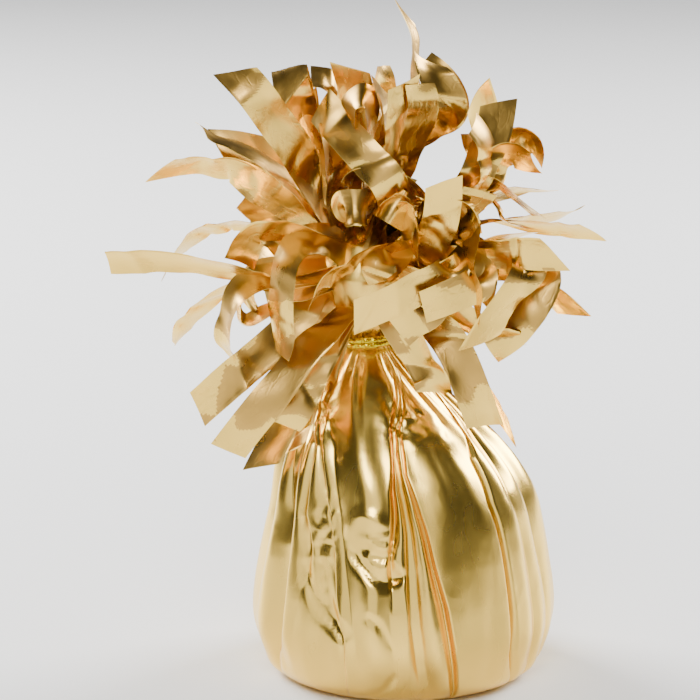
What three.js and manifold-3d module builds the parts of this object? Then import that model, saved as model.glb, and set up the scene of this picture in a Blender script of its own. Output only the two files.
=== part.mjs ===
// A balloon weight: a sheet of gold foil wrapped round a hidden load, gathered and tied at the
// neck, with the foil above the tie slit into a fringe of strips that burst out from the crown.
// Millimetres, +Z up, the front towards -Y, the origin at the middle of the flat underside.
import * as THREE from "three";
import { mergeVertices } from "three/addons/utils/BufferGeometryUtils.js";
import Module from "manifold-3d";

const wasm = await Module();
wasm.setup();

// Wrapped body
const FOOT_RADIUS = 24;
const FOOT_ROUNDING = 4.4;
const BELLY_RADIUS = 30.3;
const BELLY_HEIGHT = 14;
const SHOULDER_RADIUS = 24.8;
const SHOULDER_HEIGHT = 44;
const NECK_RADIUS = 5.2;
const NECK_HEIGHT = 68.4;
const NECK_LEAN = -7.2;
const LEAN_START = 40;
const PLEAT_DEPTH = 2.2;

// Crown above the tie, where the strips begin
const CROWN_RADIUS = 9.8;
const CROWN_RISE = 13.6;

// Fringe
const STRIP_LENGTH = 46;
const STRIP_WIDTH = 7.8;
const STRIP_THICKNESS = 0.5;
const BACK_STRIPS = 10;

// Tie, a wire with metallic wrapping wound round the neck
const TIE_WIRE = 1.1;
const TIE_TURNS = 2;
const TIE_TAIL = 6;
const FIT_GAP = 0.3;

// Fineness of the faceted solids, and how far a strip's bend spreads along it
const SKIRT_RINGS = 14;
const TIE_SIDES = 6;
const TIE_SEGMENTS = 26;
const BEND_SHARE = 0.12;

const degrees = THREE.MathUtils.degToRad;
const lerp = THREE.MathUtils.lerp;
const smooth = THREE.MathUtils.smoothstep;
const crown = new THREE.Vector3(NECK_LEAN, 0, NECK_HEIGHT + CROWN_RISE);
const turnPitch = 0.86 * TIE_WIRE;
const tieHeight = TIE_WIRE + turnPitch * (TIE_TURNS - 1);
const tieRadius = NECK_RADIUS + FIT_GAP + TIE_WIRE / 2;

// The valleys between the pleats: azimuth at the shoulder, azimuth at the foot, depth share.
// Azimuth 0 is the front, and turns towards the right.
const VALLEYS = [
  [-66, -69, 0.7],
  [-50, -60, 0.8],
  [-34, -21, 0.9],
  [-5, -6, 0.6],
  [8, 22, 1.0],
  [37, 33, 0.6],
  [49, 52, 1.0],
  [64, 66, 0.7],
  [80, 81, 0.8],
  [97, 96, 0.7],
  [116, 112, 1.0],
  [134, 131, 0.8],
  [151, 148, 0.6],
  [167, 169, 0.9],
  [186, 186, 0.7],
  [203, 200, 0.9],
  [221, 219, 0.6],
  [238, 237, 1.0],
  [256, 253, 0.8],
  [275, 273, 0.7],
];
const PLEAT_SHARES = [0, 0.3, 0.7];

// A strip is a row of flat panels: clock angle seen from the front, tilt towards the front,
// roll about its own run, and share of the strip's length. Angles are degrees.
const FRINGE = {
  upperLeft: [
    [[-24, 26, 20, 0.5], [-39, 12, 0, 0.48]],
    [[-19, -8, 0, 0.62], [-13, 58, 0, 0.38]],
    [[-55, -30, 52, 0.55], [-88, -24, 66, 0.42]],
    [[-45, -34, 78, 0.48], [-60, -26, 82, 0.42]],
    [[-42, -39, 50, 0.58], [-80, -50, 55, 0.36]],
    [[-62, 48, 10, 0.6], [-159, -40, 10, 0.24]],
    [[-74, -24, 62, 0.62], [-137, -45, 60, 0.36]],
  ],
  left: [
    [[-82, 20, 52, 0.5], [-88, 4, 46, 0.48]],
    [[-96, -30, 56, 0.5], [-140, -30, 64, 0.48]],
    [[-94, 18, 60, 0.52], [-174, 34, 64, 0.36]],
    [[-74, 56, 62, 0.54], [-176, -20, 60, 0.36]],
  ],
  lowerLeft: [
    [[-110, 44, 5, 0.46], [-134, -8, 0, 0.45]],
    [[-130, 50, 5, 0.45], [-141, 0, 0, 0.46]],
    [[-145, 34, 30, 0.46], [-152, -10, 15, 0.42]],
    [[-152, 38, 60, 0.42], [-160, -10, 50, 0.32]],
  ],
  front: [
    [[-50, 72, 50, 0.42], [-137, 42, 60, 0.3]],
    [[62, 66, 20, 0.34], [-100, 16, 10, 0.32], [-170, -6, 10, 0.14]],
    [[76, 56, 20, 0.4], [-106, 12, 10, 0.22], [-175, 0, 10, 0.14]],
    [[84, 48, 20, 0.44], [-115, 6, 10, 0.14], [175, -4, 10, 0.14]],
    [[112, 58, 30, 0.44], [168, 10, 34, 0.2]],
    [[126, 50, 20, 0.44], [-170, 6, 20, 0.22]],
    [[132, 54, 30, 0.4], [150, 4, 40, 0.24]],
  ],
  lowerRight: [
    [[118, 54, 10, 0.46], [150, -12, 5, 0.44]],
    [[128, 12, 60, 0.48], [148, 0, 64, 0.3]],
  ],
  right: [
    [[74, 46, 8, 0.46], [80, 10, 5, 0.36]],
    [[72, 24, 24, 0.5], [-156, 4, 24, 0.34]],
    [[79, 34, 14, 0.58], [-164, -8, 14, 0.26]],
    [[82, 38, 46, 0.62], [124, 4, 52, 0.26]],
    [[60, 32, 62, 0.5], [172, 26, 70, 0.36]],
    [[61, -38, 76, 0.5], [92, -20, 82, 0.46]],
    [[70, -35, 60, 0.58], [94, 0, 70, 0.38]],
  ],
  upperRight: [
    [[60, -37, 62, 0.6], [80, -40, 70, 0.26]],
    [[50, -34, 74, 0.62], [126, -20, 80, 0.28]],
    [[45, 14, 30, 0.7], [-20, 42, 10, 0.3]],
    [[52, -10, 40, 0.56], [64, 40, 40, 0.2]],
    [[35, -15, 58, 0.66], [152, 36, 62, 0.24]],
  ],
  top: [
    [[36, -16, 64, 0.6], [-48, -24, 60, 0.34]],
    [[27, 20, 20, 0.54], [-8, 46, 30, 0.38]],
    [[15, 0, 60, 0.6], [-7, 0, 76, 0.4]],
    [[14, 28, 34, 0.5], [-3, 52, 44, 0.38]],
    [[2, 10, 24, 0.54], [-30, 46, 12, 0.42]],
    [[-4, -20, 64, 0.6], [-66, -56, 68, 0.32]],
    [[8, -26, 54, 0.48], [0, -58, 56, 0.3]],
  ],
  crest: [
    [[-20, 46, 54, 0.36], [-5, 32, 56, 0.36]],
    [[6, 48, 0, 0.48], [-36, 24, 0, 0.5]],
    [[-2, 30, 50, 0.34], [-172, 46, 50, 0.22]],
    [[25, 34, 50, 0.34], [-150, 46, 50, 0.2]],
    [[60, 48, 24, 0.46], [2, 18, 8, 0.28]],
    [[55, 28, 44, 0.48], [-20, 10, 40, 0.14]],
  ],
};

// Radius of the wrapped foil at each height: a rounding out of the flat foot, a full belly, a
// shoulder, then a cone to the neck.
const skirtOutline = new THREE.SplineCurve([
  new THREE.Vector2(lerp(FOOT_RADIUS, BELLY_RADIUS, 0.4), 0.3 * FOOT_ROUNDING),
  new THREE.Vector2(lerp(FOOT_RADIUS, BELLY_RADIUS, 0.72), FOOT_ROUNDING),
  new THREE.Vector2(BELLY_RADIUS, BELLY_HEIGHT),
  new THREE.Vector2(lerp(BELLY_RADIUS, SHOULDER_RADIUS, 0.42), lerp(BELLY_HEIGHT, SHOULDER_HEIGHT, 0.58)),
  new THREE.Vector2(SHOULDER_RADIUS, SHOULDER_HEIGHT),
  new THREE.Vector2(lerp(SHOULDER_RADIUS, NECK_RADIUS, 0.46), lerp(SHOULDER_HEIGHT, NECK_HEIGHT, 0.5)),
  new THREE.Vector2(NECK_RADIUS, NECK_HEIGHT - tieHeight / 2 - FIT_GAP),
]);

function bodyProfile() {
  const stations = [[0, 0], [FOOT_RADIUS, 0]];
  for (let i = 0; i < SKIRT_RINGS; i++) {
    const point = skirtOutline.getPoint(i / (SKIRT_RINGS - 1));
    stations.push([point.x, point.y]);
  }
  stations.push([NECK_RADIUS, NECK_HEIGHT + tieHeight / 2 + FIT_GAP]);
  stations.push([lerp(NECK_RADIUS, CROWN_RADIUS, 0.7), crown.z - 0.4 * CROWN_RISE]);
  stations.push([CROWN_RADIUS, crown.z]);
  stations.push([0.72 * CROWN_RADIUS, crown.z + 0.7 * CROWN_RADIUS]);
  stations.push([0, crown.z + CROWN_RADIUS]);
  return stations;
}

function leanAt(height) {
  return NECK_LEAN * smooth(height, LEAN_START, NECK_HEIGHT);
}

function pleatDepth(height, radius) {
  const gather = lerp(0.25, 1, smooth(height, 0, SHOULDER_HEIGHT));
  return PLEAT_DEPTH * gather * Math.min(1, radius / SHOULDER_RADIUS);
}

// The columns of the body's mesh follow the valleys and the ridges between them.
function bodyColumns() {
  const columns = [];
  VALLEYS.forEach((valley, i) => {
    const next = VALLEYS[(i + 1) % VALLEYS.length];
    const turn = i + 1 === VALLEYS.length ? 360 : 0;
    for (const share of PLEAT_SHARES) {
      columns.push({
        shoulder: lerp(valley[0], next[0] + turn, share),
        foot: lerp(valley[1], next[1] + turn, share),
        dip: (1 - Math.sin(Math.PI * share) ** 0.8) * lerp(valley[2], next[2], share),
      });
    }
  });
  return columns;
}

function bodyGeometry() {
  const profile = bodyProfile();
  const columns = bodyColumns();
  const positions = [];
  const ringStart = [];
  for (const [radius, height] of profile) {
    ringStart.push(positions.length / 3);
    const spokes = radius === 0 ? columns.slice(0, 1) : columns;
    const up = smooth(height, 0, SHOULDER_HEIGHT);
    const depth = height === 0 ? 0 : pleatDepth(height, radius);
    for (const column of spokes) {
      const azimuth = degrees(lerp(column.foot, column.shoulder, up));
      const r = radius - depth * column.dip;
      positions.push(leanAt(height) + r * Math.sin(azimuth), -r * Math.cos(azimuth), height);
    }
  }
  const indices = [];
  for (let ring = 0; ring + 1 < profile.length; ring++) {
    const low = ringStart[ring];
    const high = ringStart[ring + 1];
    for (let k = 0; k < columns.length; k++) {
      const next = (k + 1) % columns.length;
      if (ring === 0) indices.push(low, high + next, high + k);
      else if (ring + 2 === profile.length) indices.push(low + k, low + next, high);
      else indices.push(low + k, low + next, high + next, low + k, high + next, high + k);
    }
  }
  const geometry = new THREE.BufferGeometry();
  geometry.setAttribute("position", new THREE.Float32BufferAttribute(positions, 3));
  geometry.setIndex(indices);
  return geometry;
}

// Direction of a panel from its clock angle and its tilt towards the front
function heading(clock, tilt) {
  const flat = Math.cos(degrees(tilt));
  return new THREE.Vector3(
    Math.sin(degrees(clock)) * flat,
    -Math.sin(degrees(tilt)),
    Math.cos(degrees(clock)) * flat,
  );
}

// Direction and roll at a share of the strip's length, eased across each bend
function panelAt(panels, share) {
  let start = 0;
  let roll = panels[0][2];
  let way = heading(panels[0][0], panels[0][1]);
  for (let i = 1; i < panels.length; i++) {
    start += panels[i - 1][3];
    const blend = smooth(share, start - BEND_SHARE, start + BEND_SHARE);
    way = way.lerp(heading(panels[i][0], panels[i][1]), blend).normalize();
    roll = lerp(roll, panels[i][2], blend);
  }
  return { way, roll };
}

// Shares of the length where a strip's sections stand: its root inside the crown, each side
// and the middle of each bend, and its cut end.
function sectionShares(panels, rootShare) {
  const shares = [rootShare];
  const end = panels.reduce((sum, panel) => sum + panel[3], 0);
  let bend = 0;
  for (const panel of panels.slice(0, -1)) {
    bend += panel[3];
    for (const share of [bend - BEND_SHARE, bend, bend + BEND_SHARE]) {
      if (share > shares.at(-1) + 0.02 && share < end - 0.05) shares.push(share);
    }
  }
  return [...shares, end];
}

// A ribbon of even width and thickness along its panels, from inside the crown outwards
function stripGeometry(panels) {
  const rootRadius = 0.62 * CROWN_RADIUS;
  const shares = sectionShares(panels, (rootRadius - CROWN_RADIUS) / STRIP_LENGTH);
  const steps = shares.length - 1;
  const box = new THREE.BoxGeometry(steps, STRIP_WIDTH, STRIP_THICKNESS, steps, 1, 1);
  box.deleteAttribute("normal");
  box.deleteAttribute("uv");
  const geometry = mergeVertices(box);
  const centre = crown.clone().addScaledVector(heading(panels[0][0], panels[0][1]), rootRadius);
  const front = new THREE.Vector3(0, -1, 0);
  const sections = shares.map((share, i) => {
    if (i > 0) {
      const middle = panelAt(panels, (share + shares[i - 1]) / 2).way;
      centre.addScaledVector(middle, STRIP_LENGTH * (share - shares[i - 1]));
    }
    const { way, roll } = panelAt(panels, share);
    const across = front.clone().cross(way).normalize().applyAxisAngle(way, degrees(roll));
    return { centre: centre.clone(), across, face: way.clone().cross(across) };
  });
  const position = geometry.getAttribute("position");
  for (let k = 0; k < position.count; k++) {
    const section = sections[Math.round(position.getX(k) + steps / 2)];
    const point = section.centre
      .clone()
      .addScaledVector(section.across, position.getY(k))
      .addScaledVector(section.face, position.getZ(k));
    position.setXYZ(k, point.x, point.y, point.z);
  }
  return geometry;
}

// Plainer strips fill the back of the fringe.
function backStrips() {
  const strips = [];
  for (let i = 0; i < BACK_STRIPS; i++) {
    const clock = 300 * ((i + 0.5) / BACK_STRIPS - 0.5);
    const away = i % 2 === 0 ? 38 : 62;
    const fold = 24 * Math.sign(clock);
    strips.push([[0.8 * clock, -away, 20, 0.5], [clock + fold, -0.6 * away, 35, 0.3]]);
  }
  return strips;
}

function toManifold(geometry) {
  return new wasm.Manifold(
    new wasm.Mesh({
      numProp: 3,
      vertProperties: new Float32Array(geometry.getAttribute("position").array),
      triVerts: new Uint32Array(geometry.index.array),
    }),
  );
}

function joined(geometries) {
  let solid = toManifold(geometries[0]);
  for (const geometry of geometries.slice(1)) solid = solid.add(toManifold(geometry));
  const mesh = solid.getMesh();
  const result = new THREE.BufferGeometry();
  result.setAttribute("position", new THREE.BufferAttribute(mesh.vertProperties, 3));
  result.setIndex(new THREE.BufferAttribute(mesh.triVerts, 1));
  return result;
}

function closed(geometry) {
  geometry.deleteAttribute("normal");
  geometry.deleteAttribute("uv");
  return mergeVertices(geometry, 1e-4);
}

function foilWrap() {
  const strips = [...Object.values(FRINGE).flat(), ...backStrips()];
  const geometry = joined([bodyGeometry(), ...strips.map(stripGeometry)]);
  const foil = new THREE.MeshStandardMaterial({ color: 0xe3c089, roughness: 0.3, metalness: 1 });
  const mesh = new THREE.Mesh(geometry, foil);
  mesh.name = "foil_wrap";
  return mesh;
}

// One turn of the tie round the neck, about its own middle
function tieTurn(height) {
  const ring = new THREE.TorusGeometry(tieRadius, TIE_WIRE / 2, TIE_SIDES, TIE_SEGMENTS);
  ring.translate(NECK_LEAN, 0, height);
  return closed(ring);
}

// The twisted end of the tie stands out at the back, turned a little to the right.
function tieTail() {
  const away = new THREE.Vector3(0.5, 0.86, 0).normalize();
  const neck = new THREE.Vector3(NECK_LEAN, 0, NECK_HEIGHT);
  const path = new THREE.CatmullRomCurve3([
    neck.clone().addScaledVector(away, tieRadius),
    neck.clone().addScaledVector(away, tieRadius + 0.5 * TIE_TAIL),
    neck.clone().addScaledVector(away, tieRadius + TIE_TAIL).add(new THREE.Vector3(0, 0, 0.2 * TIE_TAIL)),
  ]);
  const section = new THREE.Shape().absarc(0, 0, 0.7 * TIE_WIRE, 0, 2 * Math.PI);
  const options = { steps: 5, curveSegments: TIE_SIDES, bevelEnabled: false, extrudePath: path };
  return closed(new THREE.ExtrudeGeometry(section, options));
}

function neckTie() {
  const turns = [];
  for (let turn = 0; turn < TIE_TURNS; turn++) {
    turns.push(tieTurn(NECK_HEIGHT + turnPitch * (turn - (TIE_TURNS - 1) / 2)));
  }
  const wrapping = new THREE.MeshStandardMaterial({ color: 0xe6c81e, roughness: 0.25, metalness: 1 });
  const mesh = new THREE.Mesh(joined([...turns, tieTail()]), wrapping);
  mesh.name = "neck_tie";
  return mesh;
}

const balloonWeight = new THREE.Group();
balloonWeight.add(foilWrap(), neckTie());

export default balloonWeight;
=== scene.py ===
import math
import random

import bmesh
import bpy
import numpy as np
from bpy.props import (
    FloatProperty, FloatVectorProperty, IntProperty, PointerProperty, StringProperty)
from mathutils import Matrix, Vector, noise


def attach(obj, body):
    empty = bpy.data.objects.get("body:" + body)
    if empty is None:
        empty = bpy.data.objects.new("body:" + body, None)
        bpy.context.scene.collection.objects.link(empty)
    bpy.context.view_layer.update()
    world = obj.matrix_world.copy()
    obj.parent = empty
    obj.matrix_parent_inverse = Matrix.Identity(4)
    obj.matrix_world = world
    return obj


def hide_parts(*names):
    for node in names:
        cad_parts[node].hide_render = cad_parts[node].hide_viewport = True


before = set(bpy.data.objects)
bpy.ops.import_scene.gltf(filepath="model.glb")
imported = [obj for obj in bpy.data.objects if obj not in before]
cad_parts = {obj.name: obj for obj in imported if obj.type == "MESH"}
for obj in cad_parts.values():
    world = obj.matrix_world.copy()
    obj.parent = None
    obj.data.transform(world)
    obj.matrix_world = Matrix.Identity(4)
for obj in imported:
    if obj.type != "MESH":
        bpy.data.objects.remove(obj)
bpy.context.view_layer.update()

bl_info = {
    "name": "Foil Balloon Weight",
    "version": (1, 0, 0),
    "blender": (4, 5, 0),
    "location": "View3D > Sidebar > Weight",
    "description": "Builds a fringed foil balloon weight from a few sizes and colours",
    "category": "Add Mesh",
}

MM = 0.001
WRAP_NODE = "foil_wrap"
TIE_NODE = "neck_tie"

# Length in millimetres of the strips that the rows below were drawn for
STRIP_RUN = 46


def length(name, description, millimetres):
    return FloatProperty(
        name=name, description=description, default=millimetres * MM, unit="LENGTH")


def colour(name, description, rgb):
    return FloatVectorProperty(
        name=name, description=description, default=rgb, subtype="COLOR", size=3, min=0, max=1)


class WeightSizes(bpy.types.PropertyGroup):
    """Sizes of the wrapped body, the fringe and the tie"""

    foot_radius: length("Foot radius", "Radius of the flat underside", 24)
    foot_rounding: length("Foot rounding", "Height of the rounding above the foot", 4.4)
    belly_radius: length("Belly radius", "Widest radius of the body", 30.3)
    belly_height: length("Belly height", "Height of the widest ring", 14)
    shoulder_radius: length("Shoulder radius", "Radius where the cone begins", 23.6)
    shoulder_height: length("Shoulder height", "Height where the cone begins", 44)
    neck_radius: length("Neck radius", "Radius of the gathered foil in the tie", 5.2)
    neck_height: length("Neck height", "Height of the middle of the tie", 68.4)
    neck_lean: length("Neck lean", "How far the neck leans to the right, or left under 0", -7.2)
    lean_start: length("Lean start", "Height where the lean begins", 33)
    pleat_depth: length("Pleat depth", "Depth of the pleats at the back", 2.2)
    crown_radius: length("Crown radius", "Radius where the strips leave the gather", 9.8)
    crown_rise: length("Crown rise", "Height of the crown's middle above the tie", 13.6)
    strip_length: length("Strip length", "Length that the foil is slit to", STRIP_RUN)
    strip_width: length("Strip width", "Width of one strip", 7.1)
    foil_thickness: length("Foil thickness", "Thickness that a strip shows at its edge", 0.08)
    tie_wire: length("Tie width", "Width of the tie's wrapping", 1.3)
    tie_turns: IntProperty(name="Tie turns", description="Turns round the neck", default=2, min=1)


class WeightColours(bpy.types.PropertyGroup):
    """Colours of the foil's two sides, the duller reverse partly painted shade, the tie and the
    floor
    """

    foil: colour("Foil", "Bright side of the foil", (0.92, 0.61, 0.12))
    # The reverse is the foil's duller side, darkened further as painted shade for the strips inside
    # the fringe
    reverse: colour("Reverse", "Duller side of the foil", (0.60, 0.36, 0.08))
    tie: colour("Tie", "Wrapping of the tie", (0.56, 0.43, 0.001))
    floor: colour("Floor", "Floor and backdrop", (0.90, 0.90, 0.90))


# The strips that show, by where they burst out, each from its root in the crown to its cut end.
# A point is the place across and the height, in millimetres as the camera sees them, the depth
# behind the neck, under 0 in front of it, and the roll in degrees. At roll 0 the bright side
# faces the front. Where a roll turns the duller reverse to the front, its colour is partly painted
# shade.
FRINGE = {
    "upper_left": [
        [(-12, 87, 0, 80), (-15.2, 92.6, -3, 80), (-18.6, 101, -7, 44), (-21.4, 107, -11, 20),
         (-25.6, 113, -16, 8), (-29, 118, -20, 4), (-31.4, 121, -19.6, 0), (-33.6, 123.4, -18, -4)],
        [(-11, 87, 2, 60), (-16, 98, 3, 50), (-19, 108, 2, 20), (-21, 117, -1, 5),
         (-22.6, 123.6, -4, 0), (-22.8, 123.8, -6, 0), (-22, 118.4, -10, 0)],
        [(-11, 87, 0, -10), (-14.6, 90, -1, -10), (-22, 95.5, -2, -5), (-28, 99, -3, -10),
         (-34, 103.2, -2, -40), (-37.5, 103.4, -1, -42), (-42, 104, 0, -48), (-48.6, 103, 0, -50)],
        [(-12, 87, 1, 80), (-21.4, 99.4, -1, 80), (-27.8, 105, -1, 78), (-33.6, 108.2, 0, 76),
         (-37.4, 109.7, 1, 80), (-40.2, 111.5, 2, 86)],
        [(-12, 87, 4, 10), (-20, 99, 8, 10), (-26, 105, 8, 20), (-31.5, 107, 8, 24),
         (-37.2, 107.8, 8, 30)],
        [(-10, 86.5, -3, -50), (-16.8, 89.3, -9, -70), (-22.8, 90.2, -13, -44),
         (-28.4, 90.6, -16, -34), (-30.8, 88.6, -16, -30), (-32.8, 84, -13, -20)],
        [(-12, 86, 3, 110), (-22, 90, 5, 112), (-32, 91.6, 6, 116), (-35, 91.4, 6, 118),
         (-40, 90, 7, 118), (-43.6, 87, 8, 116), (-46.4, 83.6, 9, 102)],
    ],
    "left": [
        [(-11, 83, -2, -60), (-20, 80.6, -6, -66), (-27, 80.2, -9, -60), (-33, 81.8, -11, -52),
         (-42.6, 83.6, -13, -47), (-50.6, 84.3, -13, -46), (-59, 84, -11, -45)],
        [(-12, 84, 2, 120), (-22, 81.5, 4, 120), (-31, 79.6, 5, 122), (-36, 77.6, 6, 122),
         (-40.5, 74, 7, 122), (-43.8, 71, 8, 116), (-45.6, 67, 8, 98)],
        [(-12, 83, -3, 60), (-22, 81.5, -9, 60), (-29, 80.3, -12, 55), (-33.4, 77, -13, 60),
         (-35.2, 72, -13, 64), (-35.8, 67, -12, 66), (-33.6, 62.6, -10, 86)],
        [(-12, 83, 0, 50), (-22, 82, -2, 40), (-28, 81.4, -3, 30), (-31, 79.6, -4, 55),
         (-31, 74.8, -4, 60)],
        [(-12, 81, -2, 70), (-22, 76, -6, 80), (-27.2, 73.4, -8, 82), (-30.6, 71.8, -9, 82),
         (-32.4, 72.6, -9, 84), (-32.8, 75, -9, 86)],
        [(-10, 85, -5, 220), (-15, 88.5, -10, 225), (-20.5, 88, -14, 230), (-23.3, 84.5, -16, 230),
         (-24.2, 79, -16.5, 230), (-24.6, 73.6, -16.5, 230), (-24.2, 69, -16, 232),
         (-24.3, 64.8, -15.5, 244)],
    ],
    "lower_left": [
        [(-11, 79, 0, 20), (-17, 75, -4, 15), (-27, 66.2, -9, 6), (-34, 60.2, -12, 0),
         (-41.1, 53.7, -12, -4)],
        [(-10, 76, -6, 70), (-14, 71, -11, 60), (-19, 66, -14, 40), (-25, 58, -17, 18),
         (-30.5, 51, -18, 5), (-35, 45, -17, 0)],
        [(-10, 77, -3, 40), (-14, 70, -7, 40), (-19, 61, -10, 35), (-24, 51, -12, 35),
         (-28.4, 41.8, -13, 35)],
        [(-11, 77, -3, 190), (-14, 70, -8, 190), (-18, 62, -12, 185), (-21.5, 54, -14, 180),
         (-24, 50.5, -14, 170)],
        [(-11, 77, -2, 200), (-15, 66, -5, 200), (-18.5, 54, -7, 230), (-21, 49, -9, 240),
         (-25.5, 46, -10, 242)],
    ],
    "front": [
        [(-4, 86.5, -8, 130), (-7, 85.4, -13, 125), (-11, 82.8, -17, 120), (-14, 80.8, -19, 118),
         (-16.6, 78.2, -20, 114), (-18.8, 74.6, -20, 94)],
        [(-2, 90, -6, 0), (-4, 87, -10, 5), (-5, 83.5, -13, 10), (-4, 80, -14, 30)],
        [(1, 88.5, -8, 240), (0, 86, -11, 240), (-2, 83, -13, 242), (-3.6, 80.5, -14, 250)],
        [(-5, 86, -4, 20), (4, 86, -9, 10), (9, 84.5, -13, 0), (10, 82, -18, -10),
         (3, 78.5, -20, -15), (-4, 75, -20, -15), (-9.8, 72.6, -19, -15)],
        [(-5, 85, -3, 20), (6, 87, -9, 10), (12, 86, -13, 0), (13, 83.4, -16, -10),
         (8, 80.5, -18, -15), (1.4, 77, -18, -15)],
        [(-5, 83, -4, 20), (8, 84, -12, 10), (14.5, 82, -16, 0), (14.8, 79.4, -19, -10),
         (9, 76.6, -21, -15), (4, 74.6, -21, -15)],
        [(-5, 82, -5, 30), (2, 80, -12, 20), (6, 77, -15, 10), (5, 74, -17, 0),
         (1.5, 71.5, -18, -5), (-0.9, 69.5, -18, -5)],
        [(-5, 80, -5, 0), (-2, 73, -11, 10), (1.5, 67, -13, 20), (4, 62.5, -14, 30),
         (5.6, 60, -14.5, 15), (6.2, 57, -14, 0)],
    ],
    "lower_right": [
        [(-4, 80, -3, 10), (2, 75, -7, 10), (7.5, 70, -10, 0), (11, 64.5, -12, 0), (14, 57, -13, 0),
         (16.4, 50.2, -12, 0)],
        [(-3, 80, 4, 60), (6, 73, 6, 60), (13, 63, 6, 60), (18, 55, 5, 64), (21.8, 48.8, 4, 74)],
    ],
    "right": [
        [(-3, 84, -3, 10), (6, 85.5, -9, 16), (15, 85.6, -14, 22), (23, 85.8, -17, 22),
         (30.3, 85.6, -18, 22)],
        [(-3, 83, -2, 190), (8, 84, -6, 190), (18, 85, -9, 180), (25, 84.6, -12, 170),
         (24.4, 81, -17, 150), (20.8, 76, -19, 146), (17.8, 71.4, -19, 146),
         (15.4, 67.2, -17, 150)],
        [(-3, 82, 0, 190), (9, 83, -4, 185), (20, 83.6, -7, 180), (27.8, 82, -10, 180),
         (27.4, 78, -13, 200), (24.6, 73, -14, 210), (21.4, 69.4, -13, 206), (17, 66.4, -11, 200)],
        [(-3, 83, 3, 200), (10, 85, 4, 190), (21, 84, 4, 200), (27, 79, 2, 218), (31, 76, 0, 220),
         (34.2, 73, -1, 222)],
        [(-4, 83, -2, 200), (6, 86, -6, 200), (13, 87, -8, 210), (17, 84.6, -9, 230),
         (17.2, 80, -9.5, 240), (15.6, 76, -9, 240)],
        [(-4, 86, -5, 220), (3, 91, -10, 230), (9, 95.5, -14, 240), (12.4, 96, -17, 252),
         (13.5, 90.5, -19, 234), (13.2, 84, -19.5, 258), (13.9, 79, -19, 242),
         (14, 74.8, -18, 250)],
        [(-4, 82, -3, 200), (3, 80, -8, 200), (9, 75, -11, 210), (14, 71, -12, 220),
         (19.6, 68.6, -12, 230), (24, 67.6, -12, 236)],
    ],
    "far_right": [
        [(-3, 86, 4, 60), (6, 91, 7, 75), (14.4, 92.4, 8, 82), (25, 92.6, 9, 66), (30, 93.3, 9, 64),
         (34, 94.4, 9, 74)],
        [(-3, 85, 2, 60), (7, 90, 4, 75), (16, 92.4, 5, 80), (24, 91.8, 5, 58), (31, 90.8, 5, 52),
         (38, 90.2, 5, 60)],
        [(-3, 85, -1, 60), (7, 87, 0, 70), (14, 88, 1, 74), (20, 88.7, 1, 68), (26.5, 90.2, 2, 86)],
        [(-3, 88, 0, 60), (8, 95, 0, 75), (15, 98.4, 0, 84), (18.6, 95.6, -1, 86),
         (20.4, 92.8, -1, 86), (22.8, 91.5, 0, 80)],
        [(-3, 87, 3, 240), (6, 92.5, 4, 250), (14, 95.6, 5, 252), (20, 98, 5, 240),
         (25, 98.8, 5, 244), (29, 98.6, 5, 258)],
        [(-3, 87, -1, 220), (6, 91, -4, 230), (12, 97, -6, 240), (15.6, 101, -6, 244),
         (19, 100, -7, 248), (22, 97.6, -7, 254), (27.4, 93.4, -7, 262)],
    ],
    "upper_right": [
        [(-2, 87, -1, 200), (8, 93, -4, 200), (13.6, 100, -9, 196), (16.4, 106, -8, 192),
         (18.2, 111, -5, 186), (19.2, 117, -1.4, 182)],
        [(-2, 86, 2, 30), (9, 92, 3, 30), (18, 101, 2, 40), (23.6, 109.5, 0, 200),
         (26, 107.6, -1, 230), (26.2, 105.6, -1, 240)],
        [(-2, 87, 1, 20), (8, 92, -1, 20), (14, 98, -3, 20), (17.5, 103, -5, 200),
         (21, 106, -7, 206), (26.4, 104.2, -9, 236)],
        [(-2, 87, 4, 30), (9, 94, 7, 40), (16, 103, 8, 50), (16.4, 112, 6, 40),
         (14.8, 118.6, 2, 30)],
        [(-2, 87, -2, 40), (8, 93, -6, 50), (15, 99, -8, 240), (17.4, 104, -9, 242),
         (16.6, 109, -10, 242), (14.2, 112.8, -11, 244)],
        [(-2, 86, -1, 210), (8, 92, -3, 220), (14, 98, -4, 230), (15.6, 104, -5, 230),
         (14.2, 110.4, -5, 236)],
    ],
    "top": [
        [(-6, 88, 0, 200), (-5, 98, 0, 210), (-1.4, 105.6, -1, 240), (3.6, 110.6, -2, 230),
         (8.6, 113.2, -4, 210), (9.2, 117, -5, 195), (7, 121, -5, 210), (3.8, 126, -4, 245)],
        [(-6, 88, 3, 20), (-4, 99, 4, 20), (0, 106.6, 4, 40), (5, 111.6, 3, 30), (9.4, 115, 2, 10),
         (8.6, 119.4, 2, 20), (4, 125, 2, 50)],
        [(-6, 88, -1, 230), (-3, 98, -4, 240), (0, 107, -6, 248), (1.6, 115, -6, 250),
         (2.1, 123.5, -4, 253), (2.1, 129.7, -1, 256), (0.9, 134, 1, 260), (-0.8, 137.4, 3, 266)],
        [(-6, 88, -3, 20), (-3.6, 98, -7, 30), (-1.4, 106, -9, 45), (-0.8, 112, -11, 48),
         (-0.3, 117, -13, 45), (0.2, 121, -14, 40)],
        [(-6, 88, -2, 20), (-3, 98, -5, 30), (1, 107, -7, 40), (3.6, 113.4, -9, 30),
         (4, 117, -11, 30), (3.2, 120.6, -12, 40)],
        [(-7, 89, 4, 20), (-6, 102, 6, 20), (-5, 113, 6, 10), (-4.2, 120, 5, 40),
         (-4.8, 124.3, 4, 70)],
        [(-8, 88, 3, 20), (-8.6, 102, 5, 10), (-9, 112, 5, 5), (-9.4, 119, 4, 0),
         (-10.6, 124, 3, 0)],
        [(-9, 89, 2, 200), (-12, 103, 4, 200), (-12.5, 114, 4, 220), (-13, 119, 4, 240),
         (-15.6, 121.6, 3, 240), (-18.4, 122, 3, 240)],
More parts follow.
